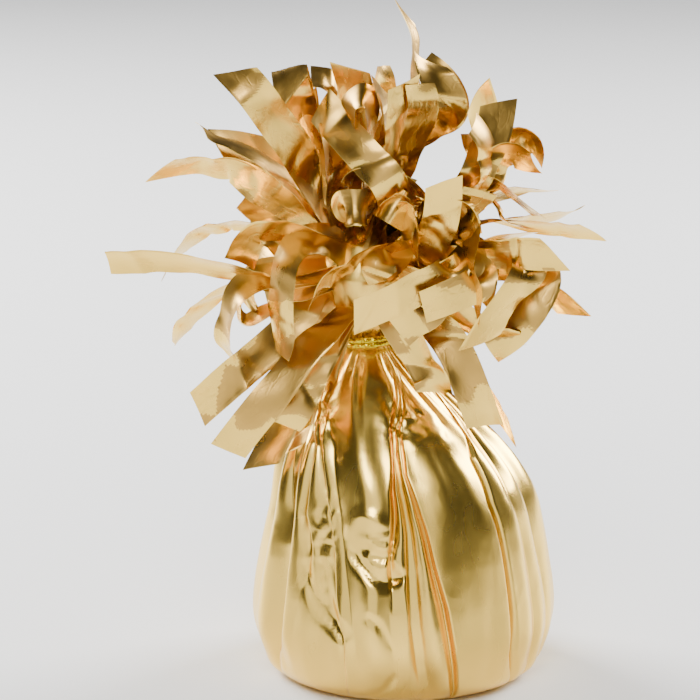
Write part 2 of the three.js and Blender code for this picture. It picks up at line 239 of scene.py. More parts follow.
        [(-7, 89, -3, 60), (-6, 102, -7, 60), (-5.6, 111, -9, 62), (-6.2, 116, -10, 62),
         (-8, 118.2, -11, 64), (-10.6, 116.8, -11, 64), (-11, 114, -11, 64)],
        [(-7, 88, 0, 220), (-5.6, 100, -2, 230), (-4.4, 109, -4, 242), (-3.8, 115, -5, 244),
         (-4.6, 120.4, -5, 250)],
        [(-8, 88, 0, 200), (-9, 98, 1, 200), (-11, 107, 1, 200), (-13.4, 113.6, 0, 200)],
        [(-10, 88, 1, 190), (-13, 97, 2, 190), (-16, 105, 2, 190), (-19.6, 113, 1, 190),
         (-20.4, 117, 0, 190)],
    ],
    "crest": [
        [(-8, 86, -2, 20), (-12.4, 94, -6, 40), (-13.6, 101, -8, 52), (-13.8, 108, -8, 54),
         (-14.6, 113, -7, 50)],
        [(-4, 87, -4, 10), (-1.5, 95, -12, 14), (-3, 100.6, -16.6, 10), (-7, 105, -15, 4),
         (-11.5, 110.2, -11.6, 0), (-16.6, 116.4, -6.6, -4)],
        [(-9, 90, -5, 40), (-10.5, 98, -9, 50), (-9, 102.4, -11, 55), (-4.6, 101.8, -12, 58),
         (0, 100.8, -12, 58), (3.6, 97, -11, 60)],
        [(-5.6, 94.6, -6, 26), (-6.4, 95, -12, 26), (-8, 95.2, -15, 26), (-10.2, 95.2, -15.4, 26),
         (-11.4, 95, -13.6, 26), (-10.4, 94.8, -11.8, 26), (-8.6, 94.8, -12, 26)],
        [(4, 92.2, -6, 24), (2.4, 93.2, -11, 24), (1.05, 93.9, -14, 24), (-1.3, 95.4, -16.4, 24),
         (-3.5, 96.7, -14.4, 24), (-2.6, 96.2, -12, 24), (-0.8, 95, -11.8, 24)],
    ],
    "hub": [
        [(-3, 86, -3, 10), (4, 87, -12, 10), (7, 91, -17, 0), (8, 96, -19, 0),
         (8.2, 100.6, -21, 0)],
        [(-5, 88, -8, 240), (-3, 96, -12, 250), (0.2, 97.4, -14, 260), (0.6, 94, -15, 254),
         (0.2, 88.4, -15, 256)],
        [(-4, 87, -8, 240), (-1, 94, -13, 250), (1.4, 96.4, -15, 260), (1.8, 92, -16, 252),
         (2, 85.6, -16, 254)],
        [(-4, 84, -5, 10), (0, 86, -10, 30), (3, 88.6, -13, 40), (7, 89.4, -14, 40),
         (11, 89, -14, 40)],
        [(-3, 87, -4, 20), (5, 90, -9, 20), (11, 94, -12, 30), (15.4, 98.8, -13, 24)],
    ],
}

# Lines that the wrapped foil is folded along, from the left side round the front to the right.
# A point is the height in millimetres, the azimuth in degrees, where 0 is the front and 90 the
# right, and how far in millimetres the foil stands out from the even body.
GUIDES = [
    [(0, -90, 0), (66, -90, 0)],
    [(2, -81, -0.4), (16, -77.5, -1.6), (27, -76, -1.9), (38, -78, -1.9), (46, -79, -1.5),
     (60, -84, -0.8), (66, -86, 0)],
    [(2, -72, 0.2), (16, -68, 0.5), (27, -64, 0.7), (38, -65, 0.7), (50, -69, 0.4), (60, -78, 0.2),
     (66, -82, 0)],
    [(2, -64, -0.3), (7, -62, -1.6), (14, -54.5, -2.6), (20, -53, -1.8), (30, -53, -0.6),
     (38, -58, -0.5), (50, -62, -0.6), (60, -74, -0.5), (66, -78, 0)],
    [(2, -58, 0), (7, -56, 0), (14, -50.5, 0.3), (20, -49.5, 0.4), (30, -50, 0.4), (38, -52, 0.3),
     (50, -56, 0.2), (60, -69, 0.1), (66, -73, 0)],
    [(2, -50, 0), (20, -44, 0), (29, -42, -0.3), (31, -43, -1), (37, -47.5, -1.8),
     (42, -46.5, -1.8), (50, -46, -1.4), (58, -58, -1), (66, -66, 0)],
    [(2, -46, 0), (20, -40, 0.1), (29, -38.5, 0.2), (37, -44.5, 0.2), (42, -43.5, 0.2),
     (50, -42.5, 0.1), (58, -55.5, 0), (66, -63, 0)],
    [(2, -24, -0.2), (7, -23.6, -0.9), (13, -23.4, -1.1), (22, -28, -1.2), (32, -31.4, -1.2),
     (40, -35.2, -1.1), (50, -39.5, -1), (61, -54.5, -0.6), (66, -58, 0)],
    [(2, -22.5, 0.2), (7, -22, 0.4), (13, -21.8, 0.5), (22, -26.4, 0.5), (32, -29.6, 0.5),
     (40, -33.4, 0.5), (50, -37.6, 0.5), (61, -52.5, 0.3), (66, -55, 0)],
    [(2, -17, 0.2), (13, -18, 0.3), (26, -23, 0.1), (36, -27.5, 0), (50, -32, 0.1), (61, -45, 0),
     (66, -50, 0)],
    [(2, -10, 0.3), (13, -10, 0.6), (26, -15, 0.4), (36, -17, 0.4), (50, -14, 0.7), (61, -15, 0.3),
     (66, -25, 0)],
    [(2, -2, 0), (20, -6, 0), (30, -8, 0.2), (37, -6, 0.5), (43, -4, 0.6), (49, 1, 0.6),
     (54, 5, 0.4), (58, 14, 0.3), (62, 28, 0.2), (66, 35, 0)],
    [(2, -1, 0), (20, -4.5, 0), (30, -6, -1.6), (37, -4, -2.2), (43, -2.4, -2.4), (49, 2.2, -1.8),
     (54, 6.5, -1.2), (58, 16, -1.2), (62, 30, -0.8), (66, 38, 0)],
    [(2, 2, 0), (20, 1, 0), (30, -1.5, -0.4), (37, -1, -0.8), (43, -0.5, -0.9), (49, 3.2, -0.8),
     (54, 8, 0), (58, 19, 0), (62, 33, 0), (66, 42, 0)],
    [(2, 8, -1.0), (9, 5, -1.7), (17, 2.6, -1.8), (29, 1.8, -1.8), (38, 1.4, -2.2), (43, 1.4, -2.2),
     (49, 3.8, -1.8), (54, 9, -0.6), (58, 20.6, -0.4), (62, 34.6, -0.3), (66, 43.4, 0)],
    [(2, 11.4, -1.0), (9, 8.4, -1.6), (17, 6.2, -1.6), (29, 4.6, -1.7), (38, 2.6, -2.1),
     (43, 2.6, -2.1), (49, 4.6, -1.7), (54, 9.9, -0.6), (58, 21.4, -0.4), (62, 35.4, -0.3),
     (66, 44.4, 0)],
    [(2, 17, 0), (9, 14, 0), (17, 11.5, 0.1), (29, 8.6, -0.2), (38, 5.6, -0.8), (46, 5.4, -1),
     (54, 11, 0), (58, 23, 0), (66, 46, 0)],
    [(2, 22, -1.4), (11, 18.8, -2.4), (21, 16, -2.6), (29, 12, -2.6), (39, 8, -2.4), (46, 6.4, -2),
     (54, 12.4, -0.8), (58, 25, -0.5), (66, 48, 0)],
    [(2, 23, 0.3), (11, 19.7, 0.5), (21, 16.9, 0.6), (29, 12.9, 0.6), (39, 9, 0.5), (46, 7.4, 0.3),
     (54, 13.6, 0.4), (58, 26.4, 0.3), (66, 50, 0)],
    [(2, 34, 0.3), (13, 36, 0.6), (28, 38, 0.9), (40, 35, 0.8), (48, 36, 0.5), (58, 52, 0.3),
     (66, 58, 0)],
    [(2, 49, 0.4), (9, 43, 0.5), (19, 43, 0.5), (30, 42.5, 0.6), (39, 41, 0.5), (47, 45, 0.4),
     (51, 54, 0.3), (60, 68, 0.2), (66, 72, 0)],
    [(2, 52, -1), (9, 45.5, -3), (19, 46, -3.2), (30, 45, -3), (39, 43.5, -2.6), (47, 48, -2.2),
     (51, 56, -1.8), (60, 70, -1), (66, 74, 0)],
    [(2, 56, 0.2), (9, 50, 0.3), (19, 49, 0.2), (30, 48, 0.2), (39, 47, 0.2), (47, 51, 0.2),
     (51, 59, 0.1), (60, 73, 0), (66, 77, 0)],
    [(2, 63, -0.3), (10, 64, -0.5), (29, 62, -0.7), (40, 58, -0.7), (49, 64, -0.6), (60, 78, -0.5),
     (66, 81, 0)],
    [(2, 69, 0.3), (20, 69, 0.3), (40, 66, 0.3), (50, 71, 0.3), (60, 81, 0.2), (66, 83.5, 0)],
    [(2, 76, -0.4), (21, 77, -0.9), (32, 75, -1), (46, 75, -1), (60, 84, -0.6), (66, 86, 0)],
]

# Valleys between the pleats round the back: azimuth at the shoulder and at the foot, and share
# of the pleat depth
BACK_VALLEYS = [
    (97, 96, 0.7), (116, 112, 1.0), (134, 131, 0.8), (151, 148, 0.6), (167, 169, 0.9),
    (186, 186, 0.7), (203, 200, 0.9), (221, 219, 0.6), (238, 237, 1.0), (256, 253, 0.8),
]

# Smaller folds across the front: height and azimuth of the points that each runs through, then
# its depth, less than 0 for a ridge, and its widths to the left and the right
FOLDS = [
    ([(13, -22), (15.4, -27), (18.2, -33), (21.6, -38.6), (26, -43), (32, -46)], 1.0, 1.8, 3.6),
    ([(15, -26), (20, -31), (26, -35.6), (33, -38.6)], 0.8, 1.6, 2.4),
    ([(3, -14), (4, -8), (8, -3)], 0.4, 0.8, 1.6),
    ([(33.2, -24), (29.4, -18.3), (25.9, -9.2), (26.3, -3), (28, 1)], 1.15, 4, 1.7),
    ([(33.6, -25), (36.8, -22.6), (38.9, -17.5), (38.4, -11), (36, -6)], -0.7, 2, 3.4),
    ([(33, -20), (31.4, -12), (30.4, -6)], 0.5, 1.8, 1.8),
    ([(20, -14), (17, -8), (12, -4)], 0.35, 0.6, 1.6),
]

# Crumpled patches: azimuth, height, their half widths in degrees and millimetres, and depth
CRUMPLES = [
    (-35, 35, 9, 10, 0.55), (-10, 32, 10, 6, 0.4), (24, 54, 30, 5, 0.5), (-40, 56, 20, 6, 0.5),
]

# Plainer strips at the back, in degrees: clock, tilt away, turn and droop past the fold, and
# roll, then the share of the full length
BACK_STRIPS = [
    (-132, 68, 24, 20, 20, 0.9), (-104, 66, 30, 0, 30, 0.9), (-92, 60, -10, 10, 200, 1),
    (-78, 74, 26, 20, 10, 0.9), (-66, 58, -20, 0, 210, 1), (-58, 66, 10, 20, 20, 0.9),
    (-46, 52, -20, 10, 190, 0.9), (-32, 70, 14, 30, 200, 0.9), (-20, 54, -10, 4, 20, 1),
    (-6, 66, 10, 16, 200, 0.9), (12, 76, 30, 30, 190, 0.9), (48, 74, 14, 20, 20, 0.9),
    (66, 66, 10, 14, 20, 0.9), (84, 58, -16, 20, 200, 0.8), (98, 70, -24, 10, 190, 0.9),
    (114, 60, 12, 20, 20, 0.8), (128, 70, -20, 20, 200, 0.9), (150, 66, 18, 30, 10, 0.9),
    (172, 74, 16, 20, 190, 0.9), (-160, 72, -14, 24, 20, 0.9),
    (-70, 36, 20, 20, 20, 0.7), (-50, 28, -16, 24, 200, 0.8), (-34, 40, 20, 10, 20, 0.8),
    (-18, 30, -20, 10, 190, 0.85), (-4, 42, 14, 20, 20, 0.8), (6, 26, -10, 30, 200, 0.6),
    (-84, 46, 14, 20, 200, 0.7), (56, 48, 10, 20, 20, 0.6), (74, 40, -10, 30, 190, 0.6),
    (92, 44, 20, 20, 20, 0.6), (-110, 44, -10, 20, 200, 0.6), (-3, 56, 10, 30, 190, 0.9),
    (-40, 58, 10, -10, 200, 0.9), (-26, 48, -10, 30, 10, 0.9),
]

# Where the camera looks, from how far and from how far up
AIM = Vector((-0.0106, 0, 0.0658))
VIEW_DISTANCE = 0.7
VIEW_RISE = math.radians(14)

# Middle of the crown that the strips' points were drawn for
HUB = Vector((-0.0072, 0, 0.082))

# Fineness of the meshes: columns and rows of the body and of a strip, the tie's sides and its
# steps to a turn and a tail, and the points that curves are worked out at
BODY_GRID = (430, 215)
STRIP_GRID = (96, 12)
TIE_SIDES = 12
TIE_STEPS = 120
TAIL_STEPS = 60
PROFILE_POINTS = 120
FOLD_POINTS = 24
STRIP_POINTS = 60
ROUND_POINTS = 3601

# The tie: its clearance round the neck in millimetres, the step from one turn to the next as a
# share of the wire's width, where the winding starts, and the twisted tail's way and length
TIE_GAP = 0.3
TIE_PITCH = 0.86
TIE_START = math.radians(60)
TAIL_WAY = Vector((0.5, 0.86, 0))
TAIL_LENGTH = 6
TAIL_SPIN = 3.2 * math.pi

# Millimetres of unrolled foil to a degree round the body
ARC_PER_DEGREE = 0.5

# Height at which the fold lines are spread over the columns, how much closer the columns stand
# along a fold, and over how many degrees
SPREAD_HEIGHT = 24
FOLD_CROWDING = 2.6
FOLD_CLOSENESS = 1.6

# Azimuths where the back's pleats start and where the round closes
BACK_START = 88
ROUND_START, ROUND_END = -90, 270

# Depths in millimetres of the ripples, the gathers at the neck and the puckers, and the heights
# between which they set in and die away
RIPPLE_DEPTH = 1.25
RIPPLE_SPAN = (1, 9), (48, 62)
GATHERS = 26
GATHER_DEPTH = 0.9
GATHER_SPAN = (50, 65), (74, 80)
PUCKER_DEPTH = 0.16
PUCKER_START = (0.2, 4)
BACK_PLEATS_END = (56, 66)

# A strip's wave in millimetres, the wander of its roll in degrees, how strongly it is kept level
# across, and its creases: each one's share along, lean, rise and width
STRIP_WAVE = 0.35
ROLL_WANDER = 14
LEVELLING = 0.4
STRIP_CREASES = 5
CREASE_RANGES = (0.12, 0.95), (-0.9, 0.9), (-0.5, 0.5), (1.2, 4)

# Edges of a strip sharper than this stay crisp
SHARP_EDGE = math.radians(60)

# Lamps: name, place, what each aims at, size and watts
LAMPS = [
    ("left_panel", (-0.6, 0.5, 0.5), (0, 0, 0.06), 0.5, 21),
    ("right_panel", (0.65, 0.45, 0.45), (0, 0, 0.06), 0.45, 16),
    ("front_panel", (-0.2, -1.25, 0.6), (0, 0, 0.06), 1.3, 6.5),
    ("low_front_panel", (-0.05, -0.5, 0.5), (0, -0.45, 0), 0.25, 2.5),
]
ROOM_LIGHT = 0.05
FLOOR_SIZE = 3
LENS_LENGTH = 180
SENSOR_WIDTH = 36


def smooth(x, low, high):
    """A smooth step from 0 at low to 1 at high"""
    t = np.clip((x - low) / (high - low), 0, 1)
    return t * t * (3 - 2 * t)


def between(x, start, end):
    """1 in the middle, set in smoothly over the start and dying away over the end"""
    return smooth(x, *start) * (1 - smooth(x, *end))


def mix(a, b, t):
    """The value at a share t of the way from a to b"""
    return a + (b - a) * t


def spline(points, count):
    """Even Catmull-Rom curve through points, as rows of coordinates"""
    points = np.array(points, float)
    last = len(points) - 1
    rows = []
    for t in np.linspace(0, last, count):
        i = min(int(t), last - 1)
        w = t - i
        p0, p1 = points[max(i - 1, 0)], points[i]
        p2, p3 = points[i + 1], points[min(i + 2, last)]
        v0, v1 = (p2 - p0) / 2, (p3 - p1) / 2
        rows.append((2 * p1 - 2 * p2 + v0 + v1) * w ** 3
                    + (-3 * p1 + 3 * p2 - 2 * v0 - v1) * w ** 2 + v0 * w + p1)
    return np.array(rows)


def body_profile(s):
    """Radius and height of the wrapped foil from the middle of the foot to inside the crown"""
    tie = s.tie_wire * (1 + TIE_PITCH * (s.tie_turns - 1)) / 2
    side = spline([
        (mix(s.foot_radius, s.belly_radius, 0.4), 0.3 * s.foot_rounding),
        (mix(s.foot_radius, s.belly_radius, 0.72), s.foot_rounding),
        (s.belly_radius, s.belly_height),
        (mix(s.belly_radius, s.shoulder_radius, 0.42),
         mix(s.belly_height, s.shoulder_height, 0.58)),
        (s.shoulder_radius, s.shoulder_height),
        (mix(s.shoulder_radius, s.neck_radius, 0.46),
         mix(s.shoulder_height, s.neck_height, 0.5)),
        (s.neck_radius, s.neck_height - tie),
    ], PROFILE_POINTS)
    crown = s.neck_height + s.crown_rise
    foot = [(0, 0), (s.foot_radius, 0)]
    top = [
        (s.neck_radius, s.neck_height + tie),
        (mix(s.neck_radius, s.crown_radius, 0.7), crown - 0.4 * s.crown_rise),
        (s.crown_radius, crown),
        (0.72 * s.crown_radius, crown + 0.7 * s.crown_radius),
        (0, crown + s.crown_radius),
    ]
    return np.array(foot + [tuple(p) for p in side] + top)


def fold_distance(across, up, knots):
    """Distance to a fold's line on the unrolled body, the side of it, and the share along it"""
    best = np.full(across.shape, np.inf)
    side = np.zeros(across.shape)
    share = np.zeros(across.shape)
    for k, ((h0, a0), (h1, a1)) in enumerate(zip(knots, knots[1:])):
        x0, x1 = a0 * ARC_PER_DEGREE, a1 * ARC_PER_DEGREE
        dx, dh = x1 - x0, h1 - h0
        t = np.clip(((across - x0) * dx + (up - h0) * dh) / (dx * dx + dh * dh), 0, 1)
        px, ph = across - x0 - t * dx, up - h0 - t * dh
        d = np.hypot(px, ph)
        near = d < best
        best = np.where(near, d, best)
        side = np.where(near, np.sign(px * dh - ph * dx), side)
        share = np.where(near, (k + t) / (len(knots) - 1), share)
    return best, side, share


def guide_rows(s, heights):
    """Azimuth and offset of every fold line at every height, once round the body"""
    up = smooth(heights, 0, s.shoulder_height / MM)
    rows = [[np.interp(heights, *np.array(line)[:, [0, k]].T) for k in (1, 2)] for line in GUIDES]
    depth = s.pleat_depth / MM * mix(0.35, 1, up) * (1 - smooth(heights, *BACK_PLEATS_END))
    ridge = np.full(heights.shape, 0.3)
    rows.append([np.full(heights.shape, float(BACK_START)), ridge])
    last = (ROUND_END, ROUND_END, 0)
    for valley, following in zip(BACK_VALLEYS, [*BACK_VALLEYS[1:], last]):
        azimuth, after = (mix(foot, shoulder, up) for shoulder, foot, _ in (valley, following))
        rows.append([azimuth, -valley[2] * depth])
        rows.append([mix(azimuth, after, 0.5), ridge])
    # The last ridge gives way to the first line, where the round closes
    rows[-1] = [np.full(heights.shape, float(ROUND_END)), rows[0][1]]
    return np.array([r[0] for r in rows]), np.array([r[1] for r in rows])


def main_folds(s, across, up):
    """Azimuth and offset of each vertex. Columns crowd along the fold lines and lean with them."""
    levels = np.unique(np.round(up, 5))
    azimuths, offsets = guide_rows(s, levels)
    anchors = azimuths[:, np.searchsorted(levels, SPREAD_HEIGHT)]
    fine = np.linspace(ROUND_START, ROUND_END, ROUND_POINTS)
    crowd = 1 + FOLD_CROWDING * sum(np.exp(-((fine - a) / FOLD_CLOSENESS) ** 2) for a in anchors)
    total = np.concatenate([[0], np.cumsum((crowd[1:] + crowd[:-1]) / 2)])
    column = np.interp(across, total / total[-1], fine)
    level = np.searchsorted(levels, np.round(up, 5))
    slot = np.clip(np.searchsorted(anchors, column, side="right") - 1, 0, len(anchors) - 2)
    t = np.clip((column - anchors[slot]) / (anchors[slot + 1] - anchors[slot]), 0, 1)
    azimuth = mix(azimuths[slot, level], azimuths[slot + 1, level], t)
    low, high = offsets[slot, level], offsets[slot + 1, level]
    rising = mix(low, high, np.sin(t * math.pi / 2) ** 0.9)
    falling = mix(high, low, np.sin((1 - t) * math.pi / 2) ** 0.9)
    return azimuth, np.where(high > low, rising, falling)


def small_folds(azimuth, up):
    """Offset that the smaller folds add"""
    lift = np.zeros(azimuth.shape)
    for knots, depth, left, right in FOLDS:
        line = spline(knots, FOLD_POINTS)
        distance, side, share = fold_distance(azimuth * ARC_PER_DEGREE, up, line)
        width = np.where(side < 0, left, right)
        dent = np.clip(1 - distance / width, 0, 1) ** 1.5
        lift -= depth * between(share, (0, 0.2), (0.75, 1)) * dent
    return lift


def crumpled_patches(azimuth, up, places):
    """Offset of the crumpled patches, and how far each vertex keeps its ripples there"""
    lift = np.zeros(azimuth.shape)
    calm = np.ones(azimuth.shape)
    for middle, level, wide, tall, depth in CRUMPLES:
        away = np.hypot((azimuth - middle) / wide, (up - level) / tall)
        here = 1 - smooth(away, 0.3, 1)
        calm *= 1 - 0.6 * here
        for i in np.flatnonzero(here > 0):
            spot = Vector(places[i])
            fold = abs(noise.noise(spot * 0.34)) + 0.5 * abs(noise.noise(spot * 0.8))
            lift[i] += depth * here[i] * (0.5 - 2 * fold)
    return lift, calm


def ripples(angle, up):
    """Offset of the soft upright ripples between the folds"""
    upright = np.stack([5.4 * np.sin(angle), -5.4 * np.cos(angle), 0.022 * up], axis=1)
    rise = np.array([noise.noise(Vector(p)) for p in upright])
    return RIPPLE_DEPTH * rise * between(up, *RIPPLE_SPAN)


def neck_gathers(angle, up):
    """Offset of the fine gathers at the neck"""
    phase = GATHERS / 2 * angle + 0.9 * np.sin(angle * 5 + 1)
    gather = 1 - np.abs(np.sin(phase + 0.25 * np.sin(up / 3)))
    return -GATHER_DEPTH * gather * between(up, *GATHER_SPAN)


def puckers(places, up):
    """Offset of the small crumples of thin foil, none on the flat underside"""
    rise = np.array([
        noise.fractal(Vector(p) * 0.11, 0.9, 2.1, 3) - 0.5 * noise.voronoi(Vector(p) * 0.16)[0][0]
        for p in places])
    return PUCKER_DEPTH * rise * smooth(up, *PUCKER_START)


def wrapped_body(s):
    """Foil wrapped round the hidden load: folds run up the front and gather into the neck"""
    mesh = bpy.data.meshes.new("wrapped_body")
    bm = bmesh.new()
    bmesh.ops.create_grid(bm, x_segments=BODY_GRID[0], y_segments=BODY_GRID[1], size=0.5)
    bm.to_mesh(mesh)
    bm.free()
    co = np.empty(len(mesh.vertices) * 3)
    mesh.vertices.foreach_get("co", co)
    co = co.reshape(-1, 3)
    across, along = np.clip(co[:, :2] + 0.5, 0, 1).T

    profile = body_profile(s)
    run = np.concatenate([[0], np.cumsum(np.hypot(*np.diff(profile, axis=0).T))])
    radius = np.interp(along * run[-1], run, profile[:, 0])
    height = np.interp(along * run[-1], run, profile[:, 1])
    up = height / MM
    azimuth, lift = main_folds(s, across, up)
    angle = np.radians(azimuth)
    ring = np.stack([radius * np.sin(angle), -radius * np.cos(angle), height], axis=1) / MM

    lift *= np.minimum(1, radius / (0.55 * s.shoulder_radius))
    lift += small_folds(azimuth, up)
    crumple, calm = crumpled_patches(azimuth, up, ring)
    lift += crumple + ripples(angle, up) * calm
    lift += neck_gathers(angle, up) * np.minimum(1, radius / (1.5 * s.neck_radius))
    lift += puckers(ring * (1, 1, 0.45), up) * np.minimum(1, radius / (0.6 * s.shoulder_radius))

    r = radius + lift * MM * smooth(up, 0, 2) * np.minimum(1, radius / (3 * MM))
    r = np.maximum(r, 0) * (radius > 1e-7)
    lean = s.neck_lean * smooth(height, s.lean_start, s.neck_height)
    co = np.stack([lean + r * np.sin(angle), -r * np.cos(angle), height], axis=1)
    mesh.vertices.foreach_set("co", co.ravel())
    bm = bmesh.new()
    bm.from_mesh(mesh)
    bmesh.ops.remove_doubles(bm, verts=bm.verts, dist=0.004 * MM)
    bmesh.ops.recalc_face_normals(bm, faces=bm.faces)
    for face in bm.faces:
        face.smooth = True
    bm.to_mesh(mesh)
    bm.free()
    return mesh


def heading(clock, tilt):
    """The way to a clock angle in degrees seen from the front, tilted towards the front"""
    c, t = math.radians(clock), math.radians(tilt)
    return Vector((math.sin(c) * math.cos(t), -math.sin(t), math.cos(c) * math.cos(t)))


def view_point():
    """Where the camera stands"""
    return AIM + VIEW_DISTANCE * Vector((0, -math.cos(VIEW_RISE), math.sin(VIEW_RISE)))


def seen_point(across, height, depth):
    """The point at a depth that the camera sees at a place across and a height"""
    level = Vector((0, math.sin(VIEW_RISE), math.cos(VIEW_RISE)))
    camera = view_point()
    rise = (height * MM - AIM.z) * math.cos(VIEW_RISE)
    ray = AIM + Vector((across * MM - AIM.x, 0, 0)) + level * rise - camera
    return camera + ray * (depth * MM - camera.y) / ray.y


def strip_sections(points, count, rng):
    """Evenly spaced places down a strip, with its directions along, across and out of its face"""
    curve = spline(points, STRIP_POINTS * len(points))
    run = np.concatenate([[0], np.cumsum(np.linalg.norm(np.diff(curve[:, :3], axis=0), axis=1))])
    even = np.linspace(0, run[-1], count)
    rows = np.stack([np.interp(even, run, curve[:, k]) for k in range(4)], axis=1)
    places = [Vector(row[:3]) for row in rows]
    ways = [(places[min(i + 1, count - 1)] - places[max(i - 1, 0)]).normalized()
            for i in range(count)]
    across = None
    sections = []
    wander = rng.uniform(0, 100)
    for i, (place, way) in enumerate(zip(places, ways)):
        level = Vector((0, -1, 0)).cross(way)
        if across is None:
            across = level.normalized()
        across.rotate(ways[max(i - 1, 0)].rotation_difference(way))
        if level.dot(across) < 0:
            level.negate()
        across += LEVELLING * level.length * (level.normalized() - across)
        across = (across - way * across.dot(way)).normalized()
        u = i / (count - 1)
        roll = rows[i][3] + ROLL_WANDER * u * noise.noise(Vector((u * 3, wander, 0)))
        side = across.copy()
        side.rotate(Matrix.Rotation(math.radians(roll), 3, way))
        sections.append((place, way, side, way.cross(side)))
    return sections, run[-1] / MM


def strip(s, points, rng):
    """One slit strip of the foil: a thin ribbon along its points, cupped, waved and creased"""
    columns, rows = STRIP_GRID
    sections, run = strip_sections(points, columns + 1, rng)
    bm = bmesh.new()
    uv = bm.loops.layers.uv.new("run")
    bmesh.ops.create_grid(bm, x_segments=columns, y_segments=rows, size=0.5)
    cup = rng.uniform(-0.5, 0.9)
    wave = rng.uniform(0, 100)
    slant = rng.uniform(-0.09, 0.09)
    creases = [[rng.uniform(*span) for span in CREASE_RANGES] for _ in range(STRIP_CREASES)]
    half = s.strip_width / 2
    offset = Vector((rng.uniform(0, 9), rng.uniform(0, 9)))
    for face in bm.faces:
        face.smooth = True
        for loop in face.loops:
            x, y = loop.vert.co.xy
            loop[uv].uv = offset + Vector(((x + 0.5) * run / 10, y * 2 * half / MM / 10))
    for vert in bm.verts:
        u, v = vert.co.x + 0.5, 2 * vert.co.y
        place = u * columns * (1 + slant * v * u ** 4)
        i = min(int(place), columns - 1)
        w = place - i
        (p0, w0, a0, f0), (p1, w1, a1, f1) = sections[i], sections[i + 1]
        centre = p0.lerp(p1, w)
        across = a0.lerp(a1, w).normalized()
        face = f0.lerp(f1, w).normalized()
        share = u * run / STRIP_RUN
        lift = cup * (v * v - 0.4) * smooth(u, 0.1, 0.5)
        lift += STRIP_WAVE * noise.noise(Vector((share * 6, v * 0.6, wave))) * smooth(u, 0, 0.3)
        lift += STRIP_WAVE * v ** 3 * noise.noise(Vector((share * 9, 5, wave)))
        for middle, lean, rise, width in creases:
            d = abs((u - middle) * run + lean * v * half / MM) / width
            lift += rise * max(0, 1 - d) ** 1.3
        vert.co = centre + across * half * v + face * lift * MM
    # The first faces show the reverse, whose darker colour is partly painted shade
    reverse = set(bm.faces)
    bmesh.ops.solidify(bm, geom=bm.faces[:], thickness=s.foil_thickness)
    for face in bm.faces:
        face.material_index = 1 if face in reverse else 0
    for edge in bm.edges:
        edge.smooth = len(edge.link_faces) == 2 and edge.calc_face_angle() < SHARP_EDGE
    return bm


def fringe_mesh(s, name, rows, rng):
    """One mesh of a bunch of strips"""
    mesh = bpy.data.meshes.new(name)
    whole = bmesh.new()
    for points in rows:
        bm = strip(s, points, rng)
        bm.to_mesh(mesh)
        bm.free()
        whole.from_mesh(mesh)
    whole.to_mesh(mesh)
    whole.free()
    return mesh


def strip_points(s, row):
    """Points of a strip that shows, drawn out from the crown by the strips' length"""
    crown = Vector((s.neck_lean, 0, s.neck_height + s.crown_rise))
    stretch = s.strip_length / (STRIP_RUN * MM)
    return [(*(crown + (seen_point(*p[:3]) - HUB) * stretch), p[3]) for p in row]


def back_points(s):
    """Points of the plainer strips that fill the back, each folded over part of the way along"""
    crown = Vector((s.neck_lean, 0, s.neck_height + s.crown_rise))
    rows = []
    for clock, away, fold, droop, roll, share in BACK_STRIPS:
        out = heading(clock, -away)
        on = heading(clock + fold, droop - away)
        run = share * s.strip_length
        bend = crown + out * (s.crown_radius + 0.4 * run)
        places = [crown + out * 0.6 * s.crown_radius, crown + out * (s.crown_radius + 0.2 * run)]
        places += [bend - out * 3 * MM, bend + on * 3 * MM, bend + on * 0.3 * run]
        rows.append([(*place, k * roll) for place, k in zip(places, (1, 1, 0.7, 1.2, 1))])
    return rows


def rod(bm, path, radius):
    """A closed round bar swept along a path"""
    ring = bmesh.ops.create_circle(bm, cap_ends=True, radius=radius, segments=TIE_SIDES)["verts"]
    front = list({f for v in ring for f in v.link_faces})
    previous = (path[1] - path[0]).normalized()
    turn = previous.to_track_quat("Z", "Y").to_matrix().to_4x4()
    bmesh.ops.transform(bm, verts=ring, matrix=Matrix.Translation(path[0]) @ turn)
    for i in range(1, len(path)):
        made = bmesh.ops.extrude_face_region(bm, geom=front)["geom"]
        if i > 1:
            bmesh.ops.delete(bm, geom=front, context="FACES_ONLY")
        verts = [g for g in made if isinstance(g, bmesh.types.BMVert)]
        front = [g for g in made if isinstance(g, bmesh.types.BMFace)]
        bmesh.ops.translate(bm, verts=verts, vec=path[i] - path[i - 1])
        way = (path[min(i + 1, len(path) - 1)] - path[i - 1]).normalized()
        swing = previous.rotation_difference(way).to_matrix()
        bmesh.ops.rotate(bm, verts=verts, cent=path[i], matrix=swing)
        previous = way
    for face in bm.faces:
        face.smooth = True


